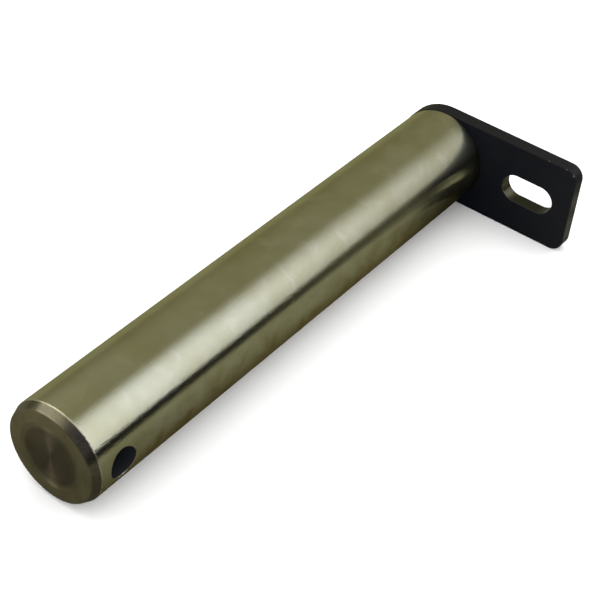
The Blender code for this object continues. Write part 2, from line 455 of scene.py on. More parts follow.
def show(tree, shader):
    """Link a shader to its tree's output."""
    tree.links.new(shader, tree.get_output_node("ALL").inputs["Surface"])


def opaque(colour):
    """A colour property's value with full alpha, as a colour socket takes it."""
    return (*colour, 1.0)


def finished_material(finish, settings):
    """A material named for its finish, which works out the shader's inputs from the place on the piece."""
    material, tree = new_material(finish.__name__)
    place = add_node(tree, "TexCoord", output="Object")
    show(tree, add_node(tree, "BsdfPrincipled", finish(tree, place, settings)))
    return material


def coated(tree, colour, *coats):
    """A colour with others laid over it in turn, each where its mask says."""
    for mask, coat in coats:
        sockets = {MIX_FACTOR: mask, MIX_A: colour, MIX_B: opaque(coat)}
        colour = add_node(tree, "Mix", sockets, MIX_RESULT, data_type="RGBA")
    return colour


def product(tree, *factors):
    """Several masks or levels multiplied together."""
    result = factors[0]
    for factor in factors[1:]:
        result = add_node(tree, "Math", (result, factor), operation="MULTIPLY")
    return result


def from_axis(tree, place):
    """How far a place is from the pin's axis."""
    across = add_node(
        tree, "VectorMath", (place, (1, 0, 1), (-AXIS_X, 0, -AXIS_Z)), operation="MULTIPLY_ADD"
    )
    return add_node(tree, "VectorMath", (across,), "Value", operation="LENGTH")


def ragged_spots(tree, place, grain, spots):
    """A mask of round spots with edges that a grain makes ragged, each given by its middle and radius."""
    mask = 0.0
    for middle, radius in spots:
        fade = [share * radius for share in SPOT_EDGE]
        away = add_node(tree, "VectorMath", (place, middle), "Value", operation="DISTANCE")
        ragged = add_node(tree, "Math", (grain, radius, away), operation="MULTIPLY_ADD")
        spot = add_node(tree, "MapRange", (ragged, *fade, 1.0, 0.0))
        mask = add_node(tree, "Math", (mask, spot), operation="MAXIMUM")
    return mask


def tool_marks(tree):
    """Shader inputs for marks that run round the pin's axis, so that gloss smears across them."""
    round_the_axis = add_node(tree, "Tangent", direction_type="RADIAL", axis="Y")
    quarter_turn = 0.25
    return {"Metallic": 1.0, "Anisotropic Rotation": quarter_turn, "Tangent": round_the_axis}


def centreless_ground_steel(tree, place, settings):
    """Carbon steel bar, centreless ground and lightly oiled.

    The wheel leaves fine rings round the bar, so reflections stay crisp across it and smear along it. A fine
    grain makes their edges ragged. Oil and handling leave paler and browner patches, the brownest towards the
    bottom, and the oil film yellows the steel that is seen edge on.
    """
    across, along, height = (add_node(tree, "SeparateXYZ", (place,), axis) for axis in "XYZ")
    film = add_node(tree, "TexNoise", {"Vector": place, "Scale": per_metre(16), "Detail": 3.0})
    stain = add_node(
        tree, "TexNoise", {"Vector": place, "Scale": per_metre(8), "Detail": 4.0, "Distortion": 0.6}
    )

    # Painted shade darkens the corner where the bar meets the plate,
    # on the side that the plate reaches out to
    towards_slot = add_node(tree, "MapRange", (across, *CORNER_SHADE_ACROSS))
    ragged = add_node(tree, "Math", (stain, CORNER_SHADE_RAGGED, along), operation="MULTIPLY_ADD")
    near_plate = add_node(tree, "MapRange", (ragged, *CORNER_SHADE_ALONG, 0.0, CORNER_SHADE_COVER))

    # One pattern leaves brown stains where it is high and bright rubbed patches where it is low
    stained = add_node(tree, "MapRange", (stain, 0.44, 0.62))
    lower_side = add_node(tree, "MapRange", (height, *STAIN_HEIGHTS, *STAIN_COVER))
    brightened = add_node(tree, "MapRange", (stain, 0.4, 0.32, 0.0, 0.6))
    oiled = add_node(tree, "MapRange", (film, 0.35, 0.65))
    colour = coated(
        tree,
        opaque(settings.steel),
        (oiled, settings.oiled_steel),
        (product(tree, stained, lower_side), settings.stained_steel),
        (brightened, settings.bright_steel),
        # Painted shade in the corner where the bar meets the plate
        (product(tree, towards_slot, near_plate), settings.grime_and_shade),
    )

    # Grinding rings are 0.05 mm apart, too fine to show, so they are drawn about 0.7 mm apart
    ring_spacing = (per_metre(14), per_metre(0.7), per_metre(14))
    ring_place = add_node(tree, "VectorMath", (place, ring_spacing), operation="MULTIPLY")
    rings = add_node(tree, "TexNoise", {"Vector": ring_place, "Scale": 1.0, "Detail": 2.0})
    grain_spacing = (per_metre(0.7), per_metre(3), per_metre(0.7))
    grain_place = add_node(tree, "VectorMath", (place, grain_spacing), operation="MULTIPLY")
    grain = add_node(
        tree, "TexNoise", {"Vector": grain_place, "Scale": 1.0, "Detail": 3.0, "Roughness": 0.6}
    )
    marks = add_node(tree, "Math", (rings, 0.04, grain), operation="MULTIPLY_ADD")
    bump = add_node(tree, "Bump", {"Strength": 1.0, "Distance": 0.00003, "Height": marks}, "Normal")
    smear = (film, *NOISE_RANGE, settings.roughness - 0.01, settings.roughness + 0.005)
    smooth = add_node(tree, "MapRange", smear)
    roughness = add_node(tree, "Math", (rings, 0.01, smooth), operation="MULTIPLY_ADD")
    finish = {"Base Color": colour, "Roughness": roughness, "Anisotropic": 0.9, "Normal": bump}
    finish["Specular Tint"] = opaque(settings.oil_tint)
    return finish | tool_marks(tree)


def turned_steel(tree, place, settings):
    """Carbon steel, turned on a lathe and left with a brown film of old cutting oil.

    The tool leaves fine rings round the axis, which spread light a little. The chamfer is the brownest, and
    dried oil spots it.
    """
    reach = from_axis(tree, place)
    along = add_node(tree, "SeparateXYZ", (place,), "Y")
    feed = add_node(tree, "Math", (reach, along), operation="SUBTRACT")
    # Turning marks are 0.15 mm apart, too fine to show, so they are drawn about 0.6 mm apart
    rings = add_node(
        tree, "TexNoise", {"W": feed, "Scale": per_metre(0.6), "Detail": 2.0}, noise_dimensions="1D"
    )
    blotch = add_node(
        tree, "TexNoise", {"Vector": place, "Scale": per_metre(6), "Detail": 3.0, "Distortion": 0.4}
    )
    spots = add_node(tree, "TexNoise", {"Vector": place, "Scale": per_metre(2), "Detail": 3.0})
    edge = (TIP_FACE_RADIUS - settings.edge_break, TIP_FACE_RADIUS + settings.edge_break)
    on_chamfer = add_node(tree, "MapRange", (reach, *edge))
    zone = coated(tree, opaque(settings.turned_steel), (on_chamfer, settings.chamfer_steel))
    shade = add_node(tree, "MapRange", (blotch, *NOISE_RANGE, 0.84, 1.1))
    blotched = add_node(tree, "VectorMath", {0: zone, "Scale": shade}, operation="SCALE")
    dried = add_node(tree, "MapRange", (spots, 0.5, 0.35, 0.0, 0.4))
    colour = coated(tree, blotched, (product(tree, dried, on_chamfer), settings.grime_and_shade))
    smooth = add_node(tree, "MapRange", (on_chamfer, 0.0, 1.0, 0.42, 0.28))
    roughness = add_node(tree, "Math", (rings, 0.04, smooth), operation="MULTIPLY_ADD")
    bump = add_node(tree, "Bump", {"Strength": 0.15, "Distance": 0.00002, "Height": rings}, "Normal")
    finish = {"Base Color": colour, "Roughness": roughness, "Anisotropic": 0.5, "Normal": bump}
    return finish | tool_marks(tree)


def faced_steel(tree, place, settings):
    """Carbon steel, faced on a lathe with a fine feed.

    The fine rings spread light outwards from the axis only, so the disc shows a light and dark bow tie. Thin
    grey and brown stains lie over it.
    """
    stain = add_node(
        tree, "TexNoise", {"Vector": place, "Scale": per_metre(9), "Detail": 4.0, "Distortion": 0.5}
    )
    brown = add_node(tree, "TexNoise", {"Vector": place, "Scale": per_metre(10), "Detail": 2.0})
    browned = add_node(tree, "MapRange", (brown, 0.45, 0.65, 0.0, 0.7))
    rim = [share * settings.faced_radius for share in FACED_FADE]
    on_rim = add_node(tree, "MapRange", (from_axis(tree, place), *rim), interpolation_type="SMOOTHSTEP")
    disc = coated(
        tree, opaque(settings.faced_steel), (browned, settings.browned_steel), (on_rim, settings.turned_steel)
    )
    shade = add_node(tree, "MapRange", (stain, *NOISE_RANGE, 0.82, 1.12))
    colour = add_node(tree, "VectorMath", {0: disc, "Scale": shade}, operation="SCALE")
    roughness = add_node(tree, "MapRange", (stain, *NOISE_RANGE, 0.38, 0.42))
    finish = {"Base Color": colour, "Roughness": roughness, "Anisotropic": 0.96}
    return finish | tool_marks(tree)


def heat_tinted_steel(tree, place, settings):
    """Carbon steel spigot end, turned and then heated by the weld round it.

    Oxide films run from bare steel in the middle through straw and purple to blue beside the bead.
    """
    cloud = add_node(tree, "TexNoise", {"Vector": place, "Scale": per_metre(4), "Detail": 3.0})
    grain = add_node(tree, "TexNoise", {"Vector": place, "Scale": per_metre(0.6), "Detail": 2.0})
    reach = add_node(tree, "Math", (from_axis(tree, place), WELD_INNER), operation="DIVIDE")
    ragged = add_node(tree, "Math", (cloud, 0.25, reach), operation="MULTIPLY_ADD")
    # Each film comes in between two shares of the way from the axis to the bead
    films = ((0.45, 0.7, settings.straw), (0.75, 0.9, settings.purple), (0.92, 1.02, settings.blue))
    coats = [(add_node(tree, "MapRange", (ragged, start, end)), film) for start, end, film in films]
    colour = coated(tree, opaque(settings.turned_steel), *coats)
    roughness = add_node(tree, "MapRange", (grain, *NOISE_RANGE, 0.3, 0.42))
    finish = {"Base Color": colour, "Roughness": roughness, "Anisotropic": 0.5}
    return finish | tool_marks(tree)


def deburred_steel(tree, place, settings):
    """Carbon steel, freshly cut where a sharp edge was broken with a scraper.

    It is brighter than the surfaces beside it, so it draws a thin pale line along the edge.
    """
    scrape = add_node(tree, "TexNoise", {"Vector": place, "Scale": per_metre(1.5), "Detail": 3.0})
    scraped = add_node(tree, "MapRange", (scrape, 0.35, 0.5))
    colour = coated(tree, opaque(settings.turned_steel), (scraped, settings.bright_steel))
    roughness = add_node(tree, "MapRange", (scrape, *NOISE_RANGE, 0.26, 0.36))
    return {"Base Color": colour, "Metallic": 1.0, "Roughness": roughness}


def drilled_steel(tree, place, settings):
    """Carbon steel, drilled, its colour painted near black as the shade inside the hole.

    The drill's lips leave rough rings along the hole, and hardly any light comes back out of it.
    """
    along = add_node(tree, "SeparateXYZ", (place,), "X")
    rings = add_node(
        tree, "TexNoise", {"W": along, "Scale": per_metre(0.5), "Detail": 2.0}, noise_dimensions="1D"
    )
    shade = add_node(tree, "MapRange", (rings, 0.0, 1.0, 0.6, 1.0))
    # The bore's colour is painted shade
    colour = add_node(tree, "VectorMath", {0: settings.shaded_bore, "Scale": shade}, operation="SCALE")
    bump = add_node(tree, "Bump", {"Strength": 0.4, "Distance": 0.00005, "Height": rings}, "Normal")
    return {"Base Color": colour, "Metallic": 0.2, "Roughness": 0.55, "Normal": bump}


def in_slot(tree, place):
    """A mask of the bolt slot's walls, from the distance to the line between its two end centres."""
    across = add_node(
        tree, "VectorMath", (place, (1, 0, 1), (-SLOT_X, 0, -AXIS_Z)), operation="MULTIPLY_ADD"
    )
    away = add_node(tree, "VectorMath", (across,), operation="ABSOLUTE")
    past_run = add_node(tree, "VectorMath", (away, (SLOT_HALF_RUN, 0, 0)), operation="SUBTRACT")
    beyond = add_node(tree, "VectorMath", (past_run, (0, 0, 0)), operation="MAXIMUM")
    reach = add_node(tree, "VectorMath", (beyond,), "Value", operation="LENGTH")
    edge = (reach, *SLOT_WALL_EDGE, 1.0, 0.0)
    return add_node(tree, "MapRange", edge, interpolation_type="SMOOTHSTEP")


def satin_black_paint(tree, place, settings):
    """Satin black paint sprayed on flat bar.

    The film has a faint orange peel and a haze of dust. It is thin on the slot's walls, lighter in patches on
    the free end, chipped at a few places along the edges, and burnt off round the weld. A bright rubbed spot
    in the slot and a gleam on the free corner are painted highlights.
    """
    facing = add_node(tree, "TexCoord", output="Normal")
    dust = add_node(tree, "TexNoise", {"Vector": place, "Scale": per_metre(7), "Detail": 4.0})
    grain = add_node(tree, "TexNoise", {"Vector": place, "Scale": per_metre(2.2), "Detail": 3.0})
    along = add_node(tree, "SeparateXYZ", (place,), "X")

    # The film is thin on the slot's walls and gives way to the paint again towards its outer end. At its
    # inner end a bright rubbed spot doubles as a painted highlight
    slot = in_slot(tree, place)
    cover = add_node(tree, "MapRange", (along, SLOT_X + SLOT_HALF_RUN, SLOT_HIGH_X, 1.0, 0.2))
    thin = product(tree, slot, cover)
    brightened = product(tree, slot, ragged_spots(tree, place, grain, SLOT_RUB_HIGHLIGHT))

    # It is lighter in patches on the free end's wall, and chipped along the edges
    facing_end = add_node(tree, "SeparateXYZ", (facing,), "X")
    end_wall = add_node(tree, "MapRange", (facing_end, *END_FACING))
    at_end = add_node(tree, "Math", (along, PLATE_HIGH.x - PLATE_CORNER), operation="GREATER_THAN")
    patched = product(tree, ragged_spots(tree, place, dust, END_PATCHES), end_wall, at_end)
    # Chips along the edges, and a painted highlight on the free corner
    chips_and_gleam = ragged_spots(tree, place, grain, CHIPS_AND_GLEAM)

    # The weld burnt it off in a ragged ring on the outer face, with scale at the bead's toe
    outward = add_node(tree, "SeparateXYZ", (facing,), "Y")
    outer_face = add_node(tree, "MapRange", (outward, *OUTER_FACING))
    reach = from_axis(tree, place)
    ragged = add_node(tree, "Math", (dust, BURN_RAGGED, reach), operation="MULTIPLY_ADD")
    burnt, scaled = (
        product(tree, add_node(tree, "MapRange", (ragged, *edge, 1.0, 0.0)), outer_face)
        for edge in (BURN_EDGE, SCALE_EDGE)
    )

    colour = coated(
        tree,
        opaque(settings.paint),
        (dust, settings.dusty_paint),
        (thin, settings.slot_steel),
        (brightened, settings.rubbed_highlight_steel),
        (patched, settings.end_patch_paint),
        (chips_and_gleam, settings.chip_and_gleam_steel),
        (burnt, settings.burnt_paint),
        (scaled, settings.mill_scale),
    )
    bare = add_node(tree, "Math", (thin, chips_and_gleam), operation="MAXIMUM")
    haze = (dust, *NOISE_RANGE, settings.roughness - 0.05, settings.roughness + 0.08)
    satin = add_node(tree, "MapRange", haze)
    slick = add_node(tree, "Math", (slot, -0.28, satin), operation="MULTIPLY_ADD")
    roughness = add_node(tree, "Math", (burnt, 0.3, slick), operation="MULTIPLY_ADD")
    peel = add_node(tree, "TexNoise", {"Vector": place, "Scale": per_metre(1.4), "Detail": 2.0})
    bump = add_node(tree, "Bump", {"Strength": 0.15, "Distance": 0.00008, "Height": peel}, "Normal")
    # Dust in the film takes a third of its gloss
    gloss = {"IOR": 1.45, "Specular IOR Level": 0.33}
    return gloss | {"Base Color": colour, "Metallic": bare, "Roughness": roughness, "Normal": bump}


def as_welded_steel(tree, place, settings):
    """Mild steel weld metal, as welded.

    The ripples' crowns are bright and the valleys hold dark oxide, with a brown heat colour between.
    """
    rise = add_node(tree, "Attribute", output="Fac", attribute_name=RIPPLE)
    cloud = add_node(tree, "TexNoise", {"Vector": place, "Scale": per_metre(5), "Detail": 3.0})
    lift = add_node(tree, "Math", (cloud, 0.5, rise), operation="MULTIPLY_ADD")
    films = (
        (add_node(tree, "MapRange", (lift, 0.35, 0.6)), settings.tinted),
        (add_node(tree, "MapRange", (lift, 0.55, 0.85)), settings.metal),
    )
    colour = coated(tree, opaque(settings.oxide), *films)
    roughness = add_node(tree, "MapRange", (lift, 0.3, 0.9, 0.5, 0.26))
    grain = add_node(tree, "TexNoise", {"Vector": place, "Scale": per_metre(0.8), "Detail": 2.0})
    bump = add_node(tree, "Bump", {"Strength": 0.2, "Distance": 0.00004, "Height": grain}, "Normal")
    return {"Base Color": colour, "Metallic": 1.0, "Roughness": roughness, "Normal": bump}


def add_object(name, data):
    """A new object in the scene."""
    thing = bpy.data.objects.new(name, data)
    bpy.context.scene.collection.objects.link(thing)
    return thing


def skin(work, rows, finish=0, closed=True):
    """Faces between neighbouring rows of vertices. A missing vertex leaves its faces out."""
    count = len(rows[0])
    for near, far in zip(rows, rows[1:]):
        for here in range(count if closed else count - 1):
            after = (here + 1) % count
            corners = (near[here], near[after], far[after], far[here])
            if None in corners:
                continue
            face = work.faces.new(tuple(dict.fromkeys(corners)))
            face.material_index = finish


def settle(name, work, materials, node):
    """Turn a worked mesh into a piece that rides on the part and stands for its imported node."""
    bmesh.ops.recalc_face_normals(work, faces=work.faces)
    open_edges = [edge for edge in work.edges if not edge.is_manifold]
    if open_edges:
        raise RuntimeError(f"{name} has {len(open_edges)} edges that don't join two faces")
    mesh = bpy.data.meshes.new(name)
    work.to_mesh(mesh)
    work.free()
    for material in materials:
        mesh.materials.append(material)
    mesh.shade_smooth()
    mesh.set_sharp_from_angle(angle=SHARP_ANGLE)
    piece = add_object(name, mesh)
    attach(piece, BODY)
    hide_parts(node)
    return piece


def turned_profile(corners):
    """Points along a turned profile, each with the finish of the surface ahead of it.

    A corner is a radius, a Y, an edge break, the finish of that break and the finish ahead. A corner with an
    edge break is rounded by that much, with a support point close by on each side, so that the faces beside
    it stay flat.
    """
    points = []
    for index, (radius, y, edge_break, edge_finish, finish) in enumerate(corners):
        here = Vector((radius, y))
        if edge_break == 0:
            points.append((here, finish))
            continue
        back = (Vector(corners[index - 1][:2]) - here).normalized()
        ahead = (Vector(corners[index + 1][:2]) - here).normalized()
        start = here + back * edge_break
        end = here + ahead * edge_break
        points.append((start + back * SUPPORT, corners[index - 1][4]))
        for step in range(EDGE_STEPS):
            share = step / EDGE_STEPS
            points.append((start.lerp(here, share).lerp(here.lerp(end, share), share), edge_finish))
        points.append((end, finish))
        points.append((end + ahead * SUPPORT, finish))
    return points


def on_bar(radius, y, angle):
    """A point on a turned surface, in the pin's own axes: 0 is towards the plate's free end."""
    return Vector((radius * math.cos(angle), y, radius * math.sin(angle)))


def cross_hole_rows(work, border, mouth_round):
    """Rows of vertices from a window in the bar's side, round the cross hole's lip and in to the middle.

    The rows beside the window stay on the bar's round side. The lip follows that side all the way round.
    """
    turns = []
    for vertex in border:
        across = PIN_RADIUS * math.atan2(vertex.co.z, vertex.co.x)
        turns.append(math.atan2(across, vertex.co.y - HOLE_Y))
    outer = HOLE_RADIUS + mouth_round
    rows = [border]
    for step in range(1, MOUTH_RINGS):
        share = step / MOUTH_RINGS
        row = []
        for vertex, turn in zip(border, turns):
            border_angle = math.atan2(vertex.co.z, vertex.co.x)
            lip_angle = math.asin(outer * math.sin(turn) / PIN_RADIUS)
            lip_y = HOLE_Y + outer * math.cos(turn)
            angle = border_angle + (lip_angle - border_angle) * share
            y = vertex.co.y + (lip_y - vertex.co.y) * share
            row.append(work.verts.new(on_bar(PIN_RADIUS, y, angle)))
        rows.append(row)

    def hole_row(radius, depth, share):
        row = []
        for turn in turns:
            z = radius * math.sin(turn)
            x = (math.sqrt(PIN_RADIUS**2 - z**2) - depth) * share
            row.append(work.verts.new((x, HOLE_Y + radius * math.cos(turn), z)))
        return row

    for step in range(LIP_STEPS + 1):
        bend = math.radians(90) * step / LIP_STEPS
        radius = HOLE_RADIUS + mouth_round * (1 - math.sin(bend))
        rows.append(hole_row(radius, mouth_round * (1 - math.cos(bend)), 1.0))
    for step in range(1, BORE_RINGS + 1):
        rows.append(hole_row(HOLE_RADIUS, mouth_round, 1 - step / BORE_RINGS))
    return rows


def pin_profile(settings):
    """The pin's turned profile, from the middle of its tip to the middle of its spigot's end."""
    faced_y = TIP_Y + settings.faced_depth
    spigot_bevel = SPIGOT_RADIUS - SPIGOT_FACE_RADIUS
    return turned_profile(
        [
            (0, faced_y, 0, FACED, FACED),
            (settings.faced_radius - FACED_RIM, faced_y, FACED_BREAK, FACED, FACED),
            (settings.faced_radius, TIP_Y, FACED_BREAK, FACED, TURNED),
            (TIP_FACE_RADIUS, TIP_Y, settings.edge_break, TURNED, TURNED),
            (PIN_RADIUS, GROUND_FROM, settings.edge_break, DEBURRED, GROUND),
            (PIN_RADIUS, SHOULDER_Y, settings.edge_break, DEBURRED, TURNED),
            (SPIGOT_RADIUS, SHOULDER_Y, 0, TURNED, TURNED),
            (SPIGOT_RADIUS, OUTER_Y - spigot_bevel, 0, TURNED, TURNED),
            (SPIGOT_FACE_RADIUS, OUTER_Y, settings.edge_break, TURNED, HEATED),
            (0, OUTER_Y, 0, HEATED, HEATED),
        ]
    )


def ground_rows(edge_break):
    """Where rows lie along the ground bar: close ones across the hole's window, then wide ones."""
    spacing = COLUMN_ANGLE * PIN_RADIUS
    window_from = HOLE_Y - WINDOW_COLUMNS / 2 * spacing
    rows = [window_from + row * spacing for row in range(WINDOW_COLUMNS + 1)]
    plain_length = SHOULDER_Y - edge_break - rows[-1]
    plain_rows = math.floor(plain_length / ROW_SPACING)
    return rows + [rows[-1] + plain_length * row / (plain_rows + 1) for row in range(1, plain_rows + 1)]


def half_bar(work, settings):
    """Skin the half of the bar on the plate's side, and give the border of the window left in it."""
    profile = pin_profile(settings)
    first_row = next(index for index, (point, finish) in enumerate(profile) if point.y > HOLE_Y)
    last_row = first_row + WINDOW_COLUMNS
    ground_ys = ground_rows(settings.edge_break)
    profile[first_row:first_row] = [(Vector((PIN_RADIUS, y)), GROUND) for y in ground_ys]
    rows = []
    for index, ((radius, y), finish) in enumerate(profile):
        if radius == 0:
            rows.append([work.verts.new((0, y, 0))] * (HALF_COLUMNS + 1))
            continue
        row = []
        for column in range(HALF_COLUMNS + 1):
            in_window = first_row < index < last_row and FIRST_COLUMN < column < LAST_COLUMN
            point = on_bar(radius, y, column * COLUMN_ANGLE - math.pi / 2)
            row.append(None if in_window else work.verts.new(point))
        rows.append(row)
    for index in range(len(rows) - 1):
        skin(work, rows[index : index + 2], profile[index][1], closed=False)
    return (
        rows[first_row][FIRST_COLUMN:LAST_COLUMN]
        + [rows[index][LAST_COLUMN] for index in range(first_row, last_row)]
        + rows[last_row][LAST_COLUMN:FIRST_COLUMN:-1]
        + [rows[index][FIRST_COLUMN] for index in range(last_row, first_row, -1)]
    )


def make_pin(settings):
    """The pin: half of the bar with one mouth of its cross hole, then the same mirrored."""
    if HOLE_RADIUS + settings.mouth_round >= PIN_RADIUS / 2:
        raise ValueError("the cross hole is too wide for the bar")
    work = bmesh.new()
    border = half_bar(work, settings)
    hole_rows = cross_hole_rows(work, border, settings.mouth_round)
    bore_from = MOUTH_RINGS + LIP_STEPS
    skin(work, hole_rows[: MOUTH_RINGS + 1], GROUND)
    skin(work, hole_rows[MOUTH_RINGS : bore_from + 1], DEBURRED)
    skin(work, hole_rows[bore_from:], DRILLED)
    half = work.verts[:] + work.edges[:] + work.faces[:]
    bmesh.ops.mirror(work, geom=half, matrix=Matrix(), merge_dist=MERGE, axis="X")
    bmesh.ops.translate(work, verts=work.verts[:], vec=(AXIS_X, 0, AXIS_Z))
    finishes = {
        GROUND: centreless_ground_steel,
        TURNED: turned_steel,
        DRILLED: drilled_steel,
        DEBURRED: deburred_steel,
        FACED: faced_steel,
        HEATED: heat_tinted_steel,
    }
    materials = [finished_material(finishes[index], settings) for index in sorted(finishes)]
    pin = settle("ground_pin", work, materials, "pin_shank")

    # The ground side is truly round, so its shading normals point straight out from the axis
    normals = []
    for vertex in pin.data.vertices:
        out = Vector((vertex.co.x - AXIS_X, 0, vertex.co.z - AXIS_Z))
        normals.append(out / out.length if abs(out.length - PIN_RADIUS) < MERGE else (0, 0, 0))
    pin.data.normals_split_custom_set_from_vertices(normals)


def arc(centre_x, radius, start, end, steps):
    """Points along an arc in the plate's plane, from one angle to another in degrees, both ends included."""
    points = []
    for step in range(steps + 1):
        angle = math.radians(start + (end - start) * step / steps)
        points.append((centre_x + radius * math.cos(angle), radius * math.sin(angle)))
    return points


def plate_outline(inset):
    """The plate's edge in the pin's own axes, drawn in by an inset: a round end and a square one."""
    half = PLATE_HALF_WIDTH - inset
    corner = PLATE_CORNER - inset
    corner_x = PLATE_REACH - PLATE_CORNER
    lift = PLATE_HALF_WIDTH - PLATE_CORNER
    lower = [(x, z - lift) for x, z in arc(corner_x, corner, -90, 0, CORNER_STEPS)]
    upper = [(x, z + lift) for x, z in arc(corner_x, corner, 0, 90, CORNER_STEPS)]
    return lower + upper + arc(0, half, 90, 270, ROUND_END_STEPS)


def slot_outline(outset):
    """The bolt slot's edge, opened out by an outset."""
    middle = SLOT_X - AXIS_X
    radius = SLOT_RADIUS + outset
    outer_end = arc(middle + SLOT_HALF_RUN, radius, -90, 90, SLOT_END_STEPS)
    inner_end = arc(middle - SLOT_HALF_RUN, radius, 90, 270, SLOT_END_STEPS)
    return outer_end + inner_end


def hole_outline(radius):
    """The spigot hole's edge."""
    return arc(0, radius, 0, 360, SPIGOT_HOLE_STEPS)[:-1]


def plate_edge_rounds():
    """Steps over the plate's thickness, as (how far a face is drawn in there, y)."""
    steps = [(PLATE_EDGE + SUPPORT, SEAT_Y)]
    for step in range(EDGE_STEPS + 1):
        bend = math.radians(90) * step / EDGE_STEPS
        steps.append((PLATE_EDGE * (1 - math.sin(bend)), SEAT_Y + PLATE_EDGE * (1 - math.cos(bend))))
    steps.append((0, SEAT_Y + PLATE_EDGE + SUPPORT))
    return steps + [(inset, SEAT_Y + OUTER_Y - y) for inset, y in reversed(steps)]


def make_plate(settings):
    """The keeper plate: rounded edges round its outline, slot and hole, then its two flat faces."""
    work = bmesh.new()

    def placed(outline, y):
        return [work.verts.new((AXIS_X + x, y, AXIS_Z + z)) for x, z in outline]

    rounds = plate_edge_rounds()
    groove = GROOVE_RADIUS - SPIGOT_HOLE_RADIUS
    walls = [
        [placed(plate_outline(inset), y) for inset, y in rounds],
        [placed(slot_outline(inset), y) for inset, y in rounds],
        [
            placed(hole_outline(SPIGOT_HOLE_RADIUS), SEAT_Y),
            placed(hole_outline(SPIGOT_HOLE_RADIUS), OUTER_Y - groove),
            placed(hole_outline(GROOVE_RADIUS), OUTER_Y),
        ],
    ]
    for rows in walls:
        skin(work, rows)
    for side in (0, -1):
        edges = []
        for rows in walls:
            loop = rows[side]
            edges += [work.edges.get((loop[here - 1], loop[here])) for here in range(len(loop))]
        bmesh.ops.triangle_fill(work, use_beauty=True, use_dissolve=False, edges=edges)
    materials = [finished_material(satin_black_paint, settings)]
    settle("keeper_plate", work, materials, "flag_plate")


def make_weld(settings):
    """The ring weld: a crowned bead with overlapping ripples, seated in the groove round the spigot."""
    count = settings.ripple_count
    chance = random.Random(WELD_SEED)
    lifts = [chance.uniform(-LIFT_SPREAD, LIFT_SPREAD) for ripple in range(count)]
    starts = [ripple + chance.uniform(-START_SPREAD, START_SPREAD) for ripple in range(count)]
    starts.append(starts[0] + count)
    middle = (WELD_INNER + WELD_OUTER) / 2
    half_width = (WELD_OUTER - WELD_INNER) / 2
    root_half_width = ROOT_WIDTH * half_width
    crown = WELD_HIGH.y - OUTER_Y - CLEARANCE
    work = bmesh.new()
    rise = work.verts.layers.float.new(RIPPLE)
    rows = []
    for index in range(count * SLICES_PER_RIPPLE):
        ripple, slice_on_ripple = divmod(index, SLICES_PER_RIPPLE)
        share = slice_on_ripple / SLICES_PER_RIPPLE
        start = starts[ripple] + (starts[ripple + 1] - starts[ripple]) * share
        fall = share**FALL_POWER
        drop = settings.ripple_depth * (fall + LIFT_DEPTH * (1 + lifts[ripple]))
        bead_half_width = half_width * (1 + LIFT_WIDTH * lifts[ripple])
        section = []
        for step in range(CROWN_STEPS + 1):
            across = 1 - 2 * step / CROWN_STEPS
            dome = 1 - across**2
            y = OUTER_Y + CLEARANCE + dome**CROWN_POWER * (crown - drop)
            bright = dome**BRIGHT_POWER * (1 - fall)
            section.append((middle + across * bead_half_width, y, start - RIPPLE_BOW * dome, bright))
        section.append((middle - root_half_width, OUTER_Y - CLEARANCE, start, 0.0))
        section.append((middle, WELD_LOW.y, start, 0.0))
        section.append((middle + root_half_width, OUTER_Y - CLEARANCE, start, 0.0))
        row = []
        for radius, y, turn, on_ripple in section:
            angle = math.tau * turn / count
            vertex = work.verts.new(on_bar(radius, y, angle) + Vector((AXIS_X, 0, AXIS_Z)))
            vertex[rise] = on_ripple
            row.append(vertex)
        rows.append(row)
    skin(work, rows + rows[:1])
    settle("ring_weld", work, [finished_material(as_welded_steel, settings)], "weld_bead")


def make_floor(settings):
    """A pale matt floor, which reflections show in the room's olive."""
    material, tree = new_material("pale_floor")
    pale = add_node(tree, "BsdfDiffuse", {"Color": opaque(settings.floor)})
    # Reflections show the floor browner and dimmer beside the pin, and dimmer far off and in a few pools
    place = add_node(tree, "TexCoord", output="Object")
    across, along = (add_node(tree, "SeparateXYZ", (place,), axis) for axis in "XY")
    beside = product(
        tree,
        add_node(tree, "MapRange", (across, *SHADE_FADES), interpolation_type="SMOOTHSTEP"),
        add_node(tree, "Math", (across, SHADE_FROM), operation="GREATER_THAN"),
        add_node(tree, "MapRange", (along, *SHADE_COMES_IN)),
    )
    shaded = coated(tree, opaque(settings.mirrored_floor), (beside, settings.shaded_floor))
    levels = [add_node(tree, "MapRange", (across, *SHADE_FAR_OFF), interpolation_type="SMOOTHSTEP")]
    for centre, *edges in SHADE_POOLS:
        away = add_node(tree, "VectorMath", (place, centre), "Value", operation="DISTANCE")
        levels.append(add_node(tree, "MapRange", (away, *edges, 1.0), interpolation_type="SMOOTHSTEP"))
    level = product(tree, *levels)
    mirrored = add_node(tree, "VectorMath", {0: shaded, "Scale": level}, operation="SCALE")
    olive = add_node(tree, "BsdfDiffuse", {"Color": mirrored})
    in_mirror = add_node(tree, "LightPath", output="Is Glossy Ray")
    show(tree, add_node(tree, "MixShader", (in_mirror, pale, olive)))
    mesh = bpy.data.meshes.new("floor")
    corners = [(-FLOOR_REACH, -FLOOR_REACH, 0), (FLOOR_REACH, -FLOOR_REACH, 0)]
    corners += [(-x, -y, 0) for x, y, z in corners]
    mesh.from_pydata(corners, [], [(0, 1, 2, 3)])
    mesh.materials.append(material)
    floor = add_object("floor", mesh)


